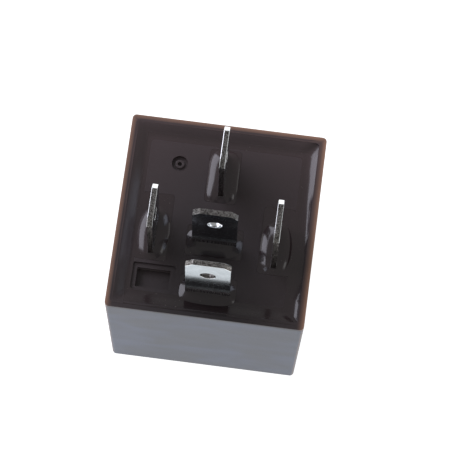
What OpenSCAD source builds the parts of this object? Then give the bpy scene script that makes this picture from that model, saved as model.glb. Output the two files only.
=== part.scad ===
// Sealed automotive change-over relay with five blades, 6.3 mm wide.
// It stands on its closed end: z = 0 is that end's outer face, and the blades point up (+Z).
// +Y is the side of the common blade, -Y the side of the contacts, and X runs across the coil blades.
// The moving set is drawn first with the magnet closed, then turned back about its hinge to rest.

/* [Housing] */
// Width of the housing at its rim
housing_w = 28; // [27:0.5:32]
// Depth of the housing at its rim
housing_d = 29; // [28.5:0.5:33]
// Height of the housing
housing_h = 25; // [24:0.5:30]
// Thickness of the side walls
wall = 1; // [0.8:0.1:1.2]
// Thickness of the closed end
end_wall = 1; // [0.8:0.1:1.6]
// Draft of each side over the whole height
draft = 0.4; // [0:0.1:0.6]
// Radius of the housing's upright edges
corner_r = 0.6; // [0.5:0.1:1.2]
// Radius of the edge round the closed end
end_edge_r = 0.4; // [0.2:0.1:0.5]
// Radius of the upright edges inside the housing
inner_corner_r = 0.5; // [0.3:0.1:0.8]
// Side of the square posts that carry the base plate
post_side = 1.6; // [1.2:0.1:2]

/* [Base plate] */
// Depth of the platform below the rim
platform_recess = 0.9; // [0.5:0.1:1.4]
// Thickness of the rim part of the plate
flange_t = 1.4; // [1.2:0.1:2]
// Height of the platform above the channel floor
platform_t = 1; // [0.8:0.1:1.4]
// Width of the sealing channel
channel_w = 1.8; // [1.4:0.1:2]
// Radius of the platform's corners
platform_r = 0.6; // [0.3:0.1:1]
// Gap between the plate and the housing
plate_gap = 0.15; // [0.05:0.05:0.3]
// Gap round a blade in its slot
slot_gap = 0.1; // [0.05:0.05:0.15]
// Depth of the shallow well round each blade
well_depth = 0.2; // [0.1:0.05:0.4]
// Margin of a well beyond the blade's faces
well_side = 1.9; // [1.5:0.1:2]
// Margin of a well beyond the blade's edges
well_end = 0.9; // [0.6:0.1:1.1]
// Extra length of the coil blades' wells, towards the back
coil_well_extra = 2; // [0:0.5:3]
// Radius of the wells' corners
well_r = 0.5; // [0.2:0.1:0.8]
// Height of the two ribs that stand on the yoke
rib_h = 2.3; // [2:0.1:2.8]
// Thickness of the ribs
rib_t = 1.1; // [0.8:0.1:1.3]
// Distance of the ribs' middle from the yoke's sides
rib_inset = 1.2; // [1.1:0.1:1.6]
// Distance of the ribs' ends from the yoke's front end and from its bend
rib_margin = 0.8; // [0.5:0.1:1.2]
// Diameter of the pegs that locate the yoke
peg_d = 1.4; // [1:0.1:1.4]
// Distance of the pegs behind the core's axis
peg_offset = 3.2; // [2.6:0.1:3.4]
// Depth of the collars that hold the coil blades
collar_h = 2; // [1.5:0.1:2.4]
// Wall of the collars
collar_wall = 0.6; // [0.4:0.1:0.6]

/* [Vent and pocket] */
// Diameter of the vent recess
vent_d = 2.3; // [1.8:0.1:2.8]
// Depth of the vent recess
vent_depth = 0.5; // [0.3:0.1:0.8]
// Diameter of the ring boss inside the recess
vent_boss_d = 1.3; // [1:0.1:1.5]
// Diameter of the blind pin hole in the boss
vent_pin_d = 0.6; // [0.4:0.1:0.8]
// Distance of the vent from the platform's left edge
vent_from_side = 4.6; // [3.5:0.1:5.5]
// Distance of the vent from the platform's back edge
vent_from_back = 3.3; // [2.5:0.1:4]
// Length of the pocket across the plate
pocket_w = 4.7; // [4:0.1:5]
// Width of the pocket
pocket_d = 2.8; // [2:0.1:3]
// Depth of the pocket
pocket_depth = 1.3; // [0.8:0.1:1.6]
// Width of the step round the pocket
pocket_step = 0.7; // [0.4:0.1:0.8]
// Depth of the step
pocket_step_depth = 0.3; // [0.2:0.1:0.4]
// Distance of the pocket from the platform's left edge
pocket_from_side = 0.75; // [0.7:0.05:1.2]
// Distance of the pocket from the platform's front edge
pocket_from_front = 0.75; // [0.7:0.05:1]

/* [Blades] */
// Width of a blade
blade_w = 6.3; // [5.8:0.1:6.6]
// Thickness of a blade
blade_t = 0.8; // [0.6:0.1:1]
// Reach of the blades above the rim
blade_reach = 11.5; // [10:0.5:13]
// Size of the cut corners at a blade's tip
tip_chamfer = 1; // [0.6:0.1:1.4]
// Diameter of the detent hole
hole_d = 2.15; // [1.8:0.05:2.4]
// Distance of the detent hole from the tip
hole_from_tip = 4; // [3.5:0.1:4.5]
// Inner radius of the bends in the sheet
bend_r = 0.4; // [0.3:0.1:0.6]
// Distance of the normally open blade from the front wall
open_blade_margin = 4.1; // [3.6:0.1:4.3]
// Distance of the common blade from the back wall
common_blade_margin = 7.5; // [7:0.1:8]
// Distance between the normally open and the normally closed blade
contact_blade_pitch = 7.4; // [7:0.1:7.8]
// Distance of the coil blades from the side walls
coil_blade_margin = 5.3; // [5:0.1:5.6]
// Offset of the coil blades from the normally closed blade, towards the back
coil_blade_offset = 0.3; // [0:0.1:0.6]
// Width of the strip that runs down to the normally closed contact
closed_strip_w = 4; // [3.5:0.1:4]
// Gap between the two contact strips
strip_gap = 1.25; // [1:0.05:1.4]
// Width of the arm that reaches across to that strip
closed_arm_w = 2.8; // [2.4:0.1:3]
// Margin of a contact's lug past the contact
lug_margin = 0.2; // [0.1:0.05:0.3]
// Gap between a contact and the bend of its strip
lug_bend_gap = 0.1; // [0.05:0.05:0.2]
// Width of a coil blade's tail
tail_w = 2.2; // [1.8:0.1:2.6]
// Length of the tail below its collar
tail_len = 2.8; // [2.4:0.1:3.2]
// Width of the common blade's foot on the yoke
foot_w = 4.6; // [4:0.1:5]
// Gap between that foot and the base plate's rib
foot_gap = 0.3; // [0.2:0.1:0.6]

/* [Sealant] */
// Radius of the hollow in the bead's surface
bead_hollow_r = 1.7; // [1.5:0.1:2.2]
// Depth of the hollow below the platform
bead_dip = 0.2; // [0.1:0.05:0.4]
// Height that the bead climbs the wall above the platform
bead_climb = 0.6; // [0.3:0.1:0.8]
// Share of the channel's width from its outer side to the hollow's middle
bead_hollow_share = 0.6; // [0.5:0.05:0.7]
// Height of a mound above the plate
mound_h = 0.7; // [0.5:0.05:0.9]

/* [Magnet] */
// Diameter of the core as a share of the winding's
core_share = 0.515; // [0.45:0.005:0.55]
// Diameter of the pole shoe
pole_d = 9.5; // [8.5:0.25:10]
// Thickness of the pole shoe
pole_t = 1; // [0.8:0.1:1.3]
// Diameter of the core's riveted end
shank_d = 4.4; // [3.6:0.2:5]
// Height of the rivet head on the yoke
rivet_head_h = 0.5; // [0.3:0.1:0.6]
// Width of a rivet head's top as a share of its base
head_taper = 0.65; // [0.5:0.05:0.8]
// Thickness of the yoke
yoke_t = 2; // [1.6:0.1:2.2]
// Width of the yoke
yoke_w = 12.4; // [11.8:0.2:13.2]
// Distance of the yoke's front end from the coil's axis
yoke_nose = 4.6; // [4:0.1:4.6]
// Inner radius of the yoke's bend
yoke_bend_r = 0.3; // [0.2:0.1:0.5]
// Play between pieces that slip together
fit_gap = 0.02; // [0.01:0.01:0.04]
// Thickness of the bobbin's flanges
flange_coil_t = 1; // [0.8:0.1:1.2]
// Radius of the flanges' corners
flange_corner_r = 2; // [1:0.5:3]
// Wall of the bobbin's tube
bobbin_wall = 0.7; // [0.5:0.1:0.9]
// Distance that the flanges stand out past the winding
flange_lip = 0.7; // [0.5:0.1:1]
// Gap between the flanges and the coil blades
flange_side_gap = 0.8; // [0.6:0.1:1]
// Gap between the coil's flanges and the yoke's bend
coil_yoke_gap = 0.1; // [0.05:0.05:0.2]
// Gap between the coil and the contacts
coil_contact_gap = 0.6; // [0.4:0.1:0.8]
// Pitch of the winding's visible turns
turn_pitch = 0.5; // [0.4:0.05:0.8]
// Diameter of the lead wires
lead_d = 0.3; // [0.2:0.05:0.4]
// Angle round the winding at which a lead leaves it
lead_angle = 20; // [10:5:30]
// Diameter of the solder joints
solder_d = 1.8; // [1.6:0.1:1.9]
// Height of the tapered ends of a solder joint
solder_end_h = 0.6; // [0.4:0.1:0.8]
// Distance that a tail's end passes the middle of its joint
solder_tail = 0.45; // [0.3:0.05:0.6]

/* [Armature and spring] */
// Thickness of the armature
armature_t = 1.6; // [1.2:0.1:1.8]
// Margin of the armature round the pole shoe
armature_margin = 0.8; // [0.5:0.1:1.2]
// Size of the cut corners at the armature's free end
armature_cut = 1.7; // [1:0.1:2]
// Distance of the armature's rivets from its hinge edge
armature_rivet_inset = 3.3; // [3:0.1:3.4]
// Chamfer of the armature's hinge edge
hinge_chamfer = 0.5; // [0.3:0.1:0.6]
// Distance of the hinge edge inside the yoke's back face
hinge_inset = 0.5; // [0.4:0.1:0.6]
// Opening angle of the armature at rest
open_angle = 2.4; // [1.8:0.1:3]
// Air gap left between the armature and the pole when closed
residual_gap = 0.03; // [0.02:0.01:0.06]
// Thickness of the leaf spring
spring_t = 0.3; // [0.2:0.05:0.35]
// Width of the leaf spring at the yoke
spring_w = 10; // [9:0.5:11]
// Width of the window in the spring's bend
spring_window_w = 4.4; // [3.6:0.2:4.8]
// Height of the window above the middle of the bend
spring_window_rise = 1.5; // [1:0.1:2]
// Inner radius of the spring's bend
spring_bend_r = 1; // [0.9:0.1:1.3]
// Length of the spring on the yoke's back above the bend
spring_leg = 9; // [8:0.5:10]
// Width of the spring at the moving contact
spring_tip_w = 4; // [3.6:0.1:4.4]
// Distance of the spring's waist inside the armature's free end
spring_waist_inset = 0.5; // [0.3:0.1:0.8]
// Gap between the yoke's rivets and the back wall
back_gap = 0.6; // [0.4:0.1:0.8]
// Diameter of the rivets' shanks
rivet_d = 1.6; // [1.2:0.1:1.8]
// Diameter of the rivets' heads
rivet_head_d = 2.8; // [2.4:0.1:3]
// Height of the rivets' heads
rivet_head_t = 0.7; // [0.5:0.1:0.8]
// Distance between the two rivets of a pair
rivet_pitch = 5.6; // [5.4:0.1:6]

/* [Contacts] */
// Diameter of the contacts
contact_d = 2.8; // [2.4:0.1:3]
// Height of a contact's head
contact_t = 0.6; // [0.5:0.1:0.8]
// Radius of the contacts' domed faces
contact_dome_r = 8; // [6:1:12]
// Diameter of a contact's shank
contact_shank_d = 1.4; // [1.2:0.1:1.6]
// Gap left between contacts that meet
contact_meet_gap = 0.02; // [0.01:0.01:0.04]
// Gap between the lowest strip and the closed end
strip_floor_gap = 0.65; // [0.4:0.05:0.9]

/* [Hidden] */
$fn = 48;
eps = 0.01;
hull_fn = 32;
dome_fn = 96;

// Heights, from the rim down
tip_z = housing_h + blade_reach;
platform_z = housing_h - platform_recess;
channel_z = platform_z - platform_t;
plate_z = channel_z - flange_t;
yoke_top_z = plate_z - rib_h;
collar_z = plate_z - collar_h;

// Places of the blades
open_blade_y = open_blade_margin - housing_d / 2;
closed_blade_y = open_blade_y + contact_blade_pitch;
coil_blade_y = closed_blade_y + coil_blade_offset;
coil_blade_x = housing_w / 2 - coil_blade_margin;
common_blade_y = housing_d / 2 - common_blade_margin;

// Distance of a straight leg's end from the corner of a bend, a hair inside the bend's end
bend_leg = bend_r + blade_t / 2 - eps;

// Inside the housing, at its narrow closed end
inner_back_y = housing_d / 2 - draft - wall;

// The base plate's outline
plate_w = 2 * (inner_half(housing_w, plate_z) - plate_gap);
plate_d = 2 * (inner_half(housing_d, plate_z) - plate_gap);
platform_w = plate_w - 2 * channel_w;
platform_d = plate_d - 2 * channel_w;
vent_x = vent_from_side - platform_w / 2;
vent_y = platform_d / 2 - vent_from_back;
pocket_x = pocket_from_side + pocket_w / 2 - platform_w / 2;
pocket_y = pocket_from_front + pocket_d / 2 - platform_d / 2;

// The contacts' axis, and the magnet between them and the back wall
contact_y = open_blade_y + blade_t / 2 + bend_r + lug_bend_gap + contact_d / 2;
lug_end_y = contact_y + contact_d / 2 + lug_margin;
yoke_back_y = inner_back_y - back_gap - rivet_head_t - spring_t;
yoke_front_y = yoke_back_y - yoke_t;
coil_front_y = lug_end_y + coil_contact_gap;
coil_back_y = yoke_front_y - yoke_bend_r - coil_yoke_gap;
coil_y = (coil_front_y + coil_back_y) / 2;
flange_d = coil_back_y - coil_front_y;
flange_w = 2 * (coil_blade_x - blade_t / 2 - flange_side_gap);
winding_d = min(flange_d, flange_w) - 2 * flange_lip;
core_d = core_share * winding_d;
bobbin_bore_d = core_d + 2 * fit_gap;
rib_x = yoke_w / 2 - rib_inset;

// Heights of the contacts and the magnet, from the closed end up
closed_lug_z = end_wall + strip_floor_gap;
closed_face_z = closed_lug_z + blade_t + contact_t;
hinge_y = yoke_back_y - hinge_inset;
lever = hinge_y - contact_y;
stack_h = armature_t + spring_t + contact_t;
hinge_z = closed_face_z + contact_meet_gap + lever * sin(open_angle) + stack_h * cos(open_angle);
pole_z = hinge_z + residual_gap;
open_face_z = hinge_z - armature_t + contact_t + contact_meet_gap;
open_lug_z = open_face_z + contact_t;
bobbin_z = pole_z + pole_t;
bobbin_top_z = yoke_top_z - yoke_t;
winding_z = bobbin_z + flange_coil_t;
winding_h = bobbin_top_z - flange_coil_t - winding_z;
joint_z = collar_z - tail_len + solder_tail;

// The spring's bend, which rolls from the yoke's back onto the armature's underside
bend_y = yoke_back_y - spring_bend_r;
bend_rise = (bend_y - hinge_y - armature_t * sin(open_angle)) * sin(open_angle);
bend_z = hinge_z - armature_t * cos(open_angle) + (spring_bend_r + bend_rise) / cos(open_angle);
bend_end = (bend_y - hinge_y) * cos(open_angle) + (bend_z - hinge_z) * sin(open_angle);
armature_rivet_y = hinge_y - armature_rivet_inset;
spring_rivet_z = pole_z + spring_leg - rivet_head_d;
armature_w = pole_d + 2 * armature_margin;
armature_front_y = coil_y - pole_d / 2 - armature_margin;

// Half of the housing's inner width or depth at a height
function inner_half(size, z) = size / 2 - draft * (housing_h - z) / housing_h - wall;

// A point on a curve through three control points
function curve_point(a, b, c, s) = (1 - s) * (1 - s) * a + 2 * s * (1 - s) * b + s * s * c;

// Helpers

// Rectangle with round corners
module rounded_rect(w, d, r) {
    square([w - 2 * r, d], center = true);
    square([w, d - 2 * r], center = true);
    for (x = [-1, 1], y = [-1, 1])
        translate([x * (w / 2 - r), y * (d / 2 - r)]) circle(r);
}

// Box that widens upwards by the draft, with round upright edges and a round lower edge
module drafted_box(inset, z_low, z_high, upright_r, low_edge_r) {
    steps = 6;
    low_w = inner_half(housing_w, z_low) + wall - inset;
    low_d = inner_half(housing_d, z_low) + wall - inset;
    high_w = inner_half(housing_w, z_high) + wall - inset;
    high_d = inner_half(housing_d, z_high) + wall - inset;
    hull($fn = hull_fn) {
        for (x = [-1, 1], y = [-1, 1]) {
            for (i = [0 : steps])
                translate([x * (low_w - upright_r), y * (low_d - upright_r),
                           z_low + low_edge_r * (1 - cos(90 * i / steps))])
                    cylinder(r = upright_r - low_edge_r * (1 - sin(90 * i / steps)), h = eps);
            translate([x * (high_w - upright_r), y * (high_d - upright_r), z_high - eps])
                cylinder(r = upright_r, h = eps);
        }
    }
}

// Round bore of length h along Z, cut a hair past both of its ends
module bore(d, h) {
    translate([0, 0, -eps]) cylinder(d = d, h = h + 2 * eps);
}

// Places children at the two coil blades, turned so that a blade is wide along X
module at_coil_blades() {
    for (x = [-coil_blade_x, coil_blade_x]) translate([x, coil_blade_y, 0]) rotate([0, 0, 90]) children();
}

// Places children at the three blades of the contacts, turned in the same way
module at_contact_blades() {
    for (y = [open_blade_y, closed_blade_y]) translate([0, y, 0]) children();
    translate([0, common_blade_y, 0]) rotate([0, 0, 90]) children();
}

// Turns the moving set from the closed magnet back to rest
module at_rest() {
    translate([0, hinge_y, hinge_z]) rotate([open_angle, 0, 0]) translate([0, -hinge_y, -hinge_z]) children();
}

// Blade with cut tip corners and a detent hole, wide along X and centred on Y
module blade(bottom_z) {
    len = tip_z - bottom_z;
    half = blade_w / 2;
    translate([0, blade_t / 2, bottom_z]) rotate([90, 0, 0]) linear_extrude(blade_t) difference() {
        polygon([[-half, 0], [half, 0], [half, len - tip_chamfer], [half - tip_chamfer, len],
                 [tip_chamfer - half, len], [-half, len - tip_chamfer]]);
        translate([0, len - hole_from_tip]) circle(d = hole_d);
    }
}

// Quarter bend of sheet, of width w along X, from a leg going up at Y = 0 to a leg going to +Y at Z = 0.
// The legs' middle planes meet in the corner at the origin.
module sheet_bend(w, t = blade_t, r = bend_r) {
    translate([-w / 2, r + t / 2, r + t / 2]) rotate([90, 0, 90]) linear_extrude(w) intersection() {
        difference() {
            circle(r + t);
            circle(r);
        }
        translate([-r - t, -r - t]) square(r + t);
    }
}

// Contact head: a short cylinder whose upper face is domed
module contact_head() {
    intersection() {
        cylinder(d = contact_d, h = contact_t);
        translate([0, 0, contact_t - contact_dome_r]) sphere(contact_dome_r, $fn = dome_fn);
    }
}

// Rivet with its head at Z >= 0 and its shank below
module rivet(shank_len) {
    cylinder(d1 = rivet_head_d, d2 = head_taper * rivet_head_d, h = rivet_head_t);
    translate([0, 0, -shank_len]) cylinder(d = rivet_d, h = shank_len + eps);
}

// Housing and sealing

module cover() {
    color([0.16, 0.15, 0.16]) {
        difference() {
            drafted_box(0, 0, housing_h, corner_r, end_edge_r);
            drafted_box(wall, end_wall, housing_h + eps, inner_corner_r, inner_corner_r / 2);
        }
        cover_posts();
    }
}

// Corner posts that the base plate stands on
module cover_posts() {
    intersection() {
        for (x = [-1, 1], y = [-1, 1])
            translate([x * (housing_w / 2 - draft - wall), y * (housing_d / 2 - draft - wall),
                       (end_wall + plate_z) / 2])
                cube([2 * post_side, 2 * post_side, plate_z - end_wall], center = true);
        drafted_box(wall / 2, end_wall / 2, housing_h, inner_corner_r, inner_corner_r / 2);
    }
}

module base_plate() {
    color([0.2, 0.18, 0.18]) difference() {
        union() {
            translate([0, 0, plate_z]) linear_extrude(flange_t)
                rounded_rect(plate_w, plate_d, inner_corner_r);
            translate([0, 0, channel_z]) linear_extrude(platform_t)
                rounded_rect(platform_w, platform_d, platform_r);
            at_coil_blades() translate([0, 0, collar_z]) linear_extrude(collar_h)
                square([blade_w + 2 * (slot_gap + collar_wall), blade_t + 2 * (slot_gap + collar_wall)],
                       center = true);
            yoke_ribs();
        }
        at_contact_blades() blade_slot();
        at_coil_blades() blade_slot();
        translate([0, 0, platform_z - well_depth]) linear_extrude(well_depth + eps) {
            at_contact_blades() well_outline();
            at_coil_blades() well_outline(coil_well_extra);
        }
        pocket();
        vent();
    }
}

// Slot for a blade that is wide along X, through the plate and its collar
module blade_slot() {
    translate([0, 0, collar_z - eps]) linear_extrude(platform_z - collar_z + 2 * eps)
        square([blade_w + 2 * slot_gap, blade_t + 2 * slot_gap], center = true);
}

// Outline of a well round a blade that is wide along X, longer by extra towards +X
module well_outline(extra = 0, clearance = 0) {
    translate([extra / 2, 0]) rounded_rect(blade_w + 2 * (well_end - clearance) + extra,
                                           blade_t + 2 * (well_side - clearance), well_r);
}

// Ribs that stand on the yoke, with the pegs that locate it
module yoke_ribs() {
    rib_low_y = coil_y - yoke_nose + rib_margin;
    rib_high_y = yoke_front_y - yoke_bend_r - rib_margin;
    for (side = [-1, 1]) {
        translate([side * rib_x - rib_t / 2, rib_low_y, yoke_top_z])
            cube([rib_t, rib_high_y - rib_low_y, rib_h]);
        translate([side * rib_x, coil_y + peg_offset, yoke_top_z - yoke_t + fit_gap])
            cylinder(d = peg_d, h = yoke_t + eps);
    }
}

module pocket() {
    translate([pocket_x, pocket_y, platform_z]) {
        translate([0, 0, -pocket_depth]) linear_extrude(pocket_depth + eps)
            square([pocket_w, pocket_d], center = true);
        translate([0, 0, -pocket_step_depth]) linear_extrude(pocket_step_depth + eps)
            rounded_rect(pocket_w + 2 * pocket_step, pocket_d + 2 * pocket_step, pocket_step / 2);
    }
}

module vent() {
    translate([vent_x, vent_y, platform_z]) {
        translate([0, 0, -vent_depth]) difference() {
            cylinder(d = vent_d, h = vent_depth + eps);
            cylinder(d = vent_boss_d, h = vent_depth / 2);
        }
        translate([0, 0, -2 * vent_depth]) cylinder(d = vent_pin_d, h = 2 * vent_depth);
    }
}

module sealant_bead() {
    outer_w = 2 * (inner_half(housing_w, channel_z) - fit_gap);
    outer_d = 2 * (inner_half(housing_d, channel_z) - fit_gap);
    // the hollow's axis lies over the inner part of the channel, so the bead climbs the housing's wall
    hollow_inset = plate_gap + bead_hollow_share * channel_w;
    color([0.07, 0.06, 0.06]) difference() {
        translate([0, 0, channel_z]) linear_extrude(platform_t + bead_climb) difference() {
            rounded_rect(outer_w, outer_d, inner_corner_r);
            rounded_rect(platform_w, platform_d, platform_r);
        }
        for (x = [-1, 1]) bead_hollow(x * (outer_w / 2 - hollow_inset), 0, outer_d);
        for (y = [-1, 1]) bead_hollow(y * (outer_d / 2 - hollow_inset), 90, outer_w);
        translate([0, 0, channel_z + platform_t]) linear_extrude(bead_climb + eps)
            rounded_rect(platform_w + channel_w, platform_d + channel_w, platform_r);
    }
}

module bead_hollow(offset, turn, len) {
    rotate([0, 0, turn]) translate([offset, 0, platform_z - bead_dip + bead_hollow_r])
        rotate([90, 0, 0]) cylinder(r = bead_hollow_r, h = len + 2 * eps, center = true);
}

module sealant_mounds() {
    color([0.07, 0.06, 0.06]) intersection() {
        union() {
            at_contact_blades() filled_well();
            at_coil_blades() filled_well(coil_well_extra);
        }
        translate([0, 0, channel_z]) linear_extrude(platform_t + 2 * mound_h)
            rounded_rect(platform_w, platform_d, platform_r);
    }
}

// Sealant that fills a well to its brim and stands up round the blade
module filled_well(extra = 0) {
    difference() {
        union() {
            translate([0, 0, platform_z - well_depth]) linear_extrude(well_depth)
                well_outline(extra, fit_gap);
            translate([0, 0, platform_z]) mound();
        }
        translate([0, 0, platform_z - well_depth - eps]) linear_extrude(well_depth + 2 * mound_h)
            square([blade_w, blade_t], center = true);
    }
}

// Rounded heap on a stadium outline: a straight run between two half-turned ends
module mound() {
    half_t = blade_t / 2 + well_side - fit_gap;
    run = blade_w + 2 * (well_end - fit_gap - half_t);
    translate([0, 0, -eps]) {
        rotate([90, 0, 90]) linear_extrude(run, center = true) {
            mound_section(half_t);
            mirror([1, 0]) mound_section(half_t);
        }
        for (x = [-1, 1]) translate([x * run / 2, 0, 0]) rotate([0, 0, -90 * x])
            rotate_extrude(angle = 180) mound_section(half_t);
    }
}

// Half of the heap's section: an arc that comes down to the plate at the well's edge
module mound_section(half_t) {
    arc_r = (half_t * half_t + mound_h * mound_h) / (2 * mound_h);
    intersection() {
        translate([0, mound_h - arc_r]) circle(arc_r, $fn = dome_fn);
        square([half_t, mound_h + eps]);
    }
}

// Blades and what they carry inside

module terminal_30() {
    foot_z = yoke_top_z + blade_t / 2;
    foot_len = rib_x - rib_t / 2 - foot_gap - bend_leg;
    foot_y = common_blade_y + blade_w / 2 - foot_w / 2;
    color([0.8, 0.8, 0.78]) {
        translate([0, common_blade_y, 0]) rotate([0, 0, 90]) blade(plate_z);
        translate([-blade_t / 2, foot_y - foot_w / 2, foot_z + bend_leg])
            cube([blade_t, foot_w, plate_z - foot_z - bend_leg + eps]);
        translate([0, foot_y, foot_z]) rotate([0, 0, -90]) sheet_bend(foot_w);
        translate([bend_leg, foot_y - foot_w / 2, yoke_top_z])
            cube([foot_len, foot_w, blade_t]);
    }
}

module terminal_87() {
    lug_z = open_lug_z + blade_t / 2;
    lug_len = lug_end_y - open_blade_y - bend_leg;
    color([0.8, 0.8, 0.78]) difference() {
        union() {
            translate([0, open_blade_y, 0]) blade(lug_z + bend_leg);
            translate([0, open_blade_y, lug_z]) sheet_bend(blade_w);
            translate([-blade_w / 2, open_blade_y + bend_leg, open_lug_z])
                cube([blade_w, lug_len, blade_t]);
        }
        translate([0, contact_y, open_lug_z]) bore(contact_shank_d, blade_t);
    }
}

module terminal_87a() {
    arm_z = plate_z - bend_r - blade_t;
    arm_back_y = closed_blade_y - bend_leg;
    arm_front_y = open_blade_y + bend_leg;
    strip_x = blade_w / 2 + strip_gap;
    strip_mid_x = strip_x + closed_strip_w / 2;
    strip_low_z = closed_lug_z + blade_t / 2 + bend_leg;
    strip_high_z = arm_z + blade_t / 2 - bend_leg;
    lug_low_x = -contact_d / 2 - lug_margin;
    color([0.8, 0.8, 0.78]) difference() {
        union() {
            translate([0, closed_blade_y, 0]) blade(arm_z + blade_t / 2 + bend_leg);
            // bend under the plate, and the arm that goes forward and to the side
            translate([0, closed_blade_y, arm_z + blade_t / 2]) rotate([0, 0, 180]) sheet_bend(blade_w);
            translate([-blade_w / 2, arm_front_y, arm_z])
                cube([blade_w, arm_back_y - arm_front_y, blade_t]);
            translate([0, arm_front_y, arm_z])
                cube([strip_x + closed_strip_w, closed_arm_w, blade_t]);
            // the strip beside the normally open one, bent down and bent in again at its foot
            translate([strip_mid_x, open_blade_y, arm_z + blade_t / 2])
                mirror([0, 0, 1]) sheet_bend(closed_strip_w);
            translate([strip_x, open_blade_y - blade_t / 2, strip_low_z])
                cube([closed_strip_w, blade_t, strip_high_z - strip_low_z]);
            translate([strip_mid_x, open_blade_y, closed_lug_z + blade_t / 2])
                sheet_bend(closed_strip_w);
            translate([lug_low_x, arm_front_y, closed_lug_z])
                cube([strip_x + closed_strip_w - lug_low_x, lug_end_y - arm_front_y, blade_t]);
        }
        translate([0, contact_y, closed_lug_z]) bore(contact_shank_d, blade_t);
    }
}

module terminal_85() {
    coil_terminal(-1);
}

module terminal_86() {
    coil_terminal(1);
}

// Coil blade with a narrow tail below its collar, on the left (-1) or right (1)
module coil_terminal(side) {
    color([0.8, 0.8, 0.78]) translate([side * coil_blade_x, coil_blade_y, 0]) {
        rotate([0, 0, 90]) blade(collar_z);
        translate([-blade_t / 2, -blade_w / 2, collar_z - tail_len])
            cube([blade_t, tail_w, tail_len + eps]);
    }
}

// Magnet

module yoke() {
    leg_h = yoke_top_z - pole_z;
    top_len = yoke_back_y - (coil_y - yoke_nose);
    outer_r = yoke_t + yoke_bend_r;
    color([0.55, 0.56, 0.58]) difference() {
        translate([-yoke_w / 2, 0, 0]) rotate([90, 0, 90]) linear_extrude(yoke_w) {
            translate([yoke_back_y - outer_r, yoke_top_z - outer_r]) intersection() {
                difference() {
                    circle(outer_r);
                    circle(yoke_bend_r);
                }
                square(outer_r);
            }
            translate([yoke_front_y, pole_z]) square([yoke_t, leg_h - outer_r]);
            translate([coil_y - yoke_nose, yoke_top_z - yoke_t]) square([top_len - outer_r, yoke_t]);
        }
        translate([0, coil_y, bobbin_top_z]) bore(shank_d + 2 * fit_gap, yoke_t);
        for (side = [-1, 1]) {
            translate([side * rib_x, coil_y + peg_offset, bobbin_top_z]) bore(peg_d + 2 * fit_gap, yoke_t);
            translate([side * rivet_pitch / 2, yoke_front_y, spring_rivet_z]) rotate([-90, 0, 0])
                bore(rivet_d + 2 * fit_gap, yoke_t);
        }
    }
}

module core() {
    color([0.6, 0.6, 0.62]) translate([0, coil_y, 0]) {
        translate([0, 0, pole_z]) cylinder(d = pole_d, h = pole_t);
        translate([0, 0, bobbin_z - eps]) cylinder(d = core_d, h = bobbin_top_z - bobbin_z + eps);
        translate([0, 0, bobbin_top_z - eps]) cylinder(d = shank_d, h = yoke_t + eps);
        translate([0, 0, yoke_top_z - eps])
            cylinder(d1 = shank_d, d2 = head_taper * shank_d, h = rivet_head_h);
    }
}

module bobbin() {
    color([0.85, 0.83, 0.76]) translate([0, coil_y, 0]) difference() {
        union() {
            for (z = [bobbin_z, bobbin_top_z - flange_coil_t]) translate([0, 0, z])
                linear_extrude(flange_coil_t) rounded_rect(flange_w, flange_d, flange_corner_r);
            translate([0, 0, bobbin_z])
                cylinder(d = bobbin_bore_d + 2 * bobbin_wall, h = bobbin_top_z - bobbin_z);
        }
        translate([0, 0, bobbin_z]) bore(bobbin_bore_d, bobbin_top_z - bobbin_z);
    }
}

module winding() {
    inner_r = bobbin_bore_d / 2 + bobbin_wall + fit_gap;
    outer_r = winding_d / 2;
    turns = floor(winding_h / turn_pitch);
    pitch = winding_h / turns;
    dip = pitch / 5;
    // each turn shows as a flat crest between two grooves
    crest = [0.3, 0.7];
    color([0.62, 0.3, 0.14]) translate([0, coil_y, winding_z]) rotate_extrude()
        polygon(concat([[inner_r, 0]],
                       [for (i = [0 : turns - 1], s = concat([0], crest))
                           [outer_r - (s == 0 ? dip : 0), (i + s) * pitch]],
                       [[outer_r - dip, winding_h], [inner_r, winding_h]]));
}

module coil_lead_85() {
    mirror([1, 0, 0]) coil_lead();
}

module coil_lead_86() {
    coil_lead();
}

// Lead wire on the right: from the winding's side out to the solder joint on the tail
module coil_lead() {
    sides = 8;
    steps = 10;
    tail_y = coil_blade_y - blade_w / 2 + tail_w / 2;
    leave_r = (winding_d + lead_d) / 2 + fit_gap;
    // the wire ends on the joint's inner lower side, at 45 degrees
    reach = ((solder_d + lead_d) / 2 + fit_gap) * sin(45);
    start = [leave_r * cos(lead_angle), coil_y - leave_r * sin(lead_angle),
             bobbin_top_z - flange_coil_t - 2 * lead_d];
    finish = [coil_blade_x - reach, tail_y, joint_z - reach];
    bend = [flange_w / 2 + lead_d, (start[1] + finish[1]) / 2, start[2] - lead_d];
    path = [for (i = [0 : steps]) curve_point(start, bend, finish, i / steps)];
    color([0.62, 0.3, 0.14]) tube(path, lead_d / 2, sides);
}

// Closed tube along a path that never points straight up
module tube(path, r, sides) {
    last = len(path) - 1;
    rings = [for (i = [0 : last]) let (
            ahead = path[min(i + 1, last)] - path[max(i - 1, 0)],
            t = ahead / norm(ahead),
            s = cross(t, [0, 0, 1]) / norm(cross(t, [0, 0, 1])),
            u = cross(s, t)
        ) for (k = [0 : sides - 1]) path[i] + r * (cos(360 * k / sides) * s + sin(360 * k / sides) * u)];
    walls = [for (i = [0 : last - 1], k = [0 : sides - 1]) let (
            a = i * sides + k,
            b = i * sides + (k + 1) % sides
        ) [a, b, b + sides, a + sides]];
    low_cap = [for (k = [sides - 1 : -1 : 0]) k];
    high_cap = [for (k = [0 : sides - 1]) last * sides + k];
    polyhedron(rings, concat(walls, [low_cap, high_cap]));
}

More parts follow.
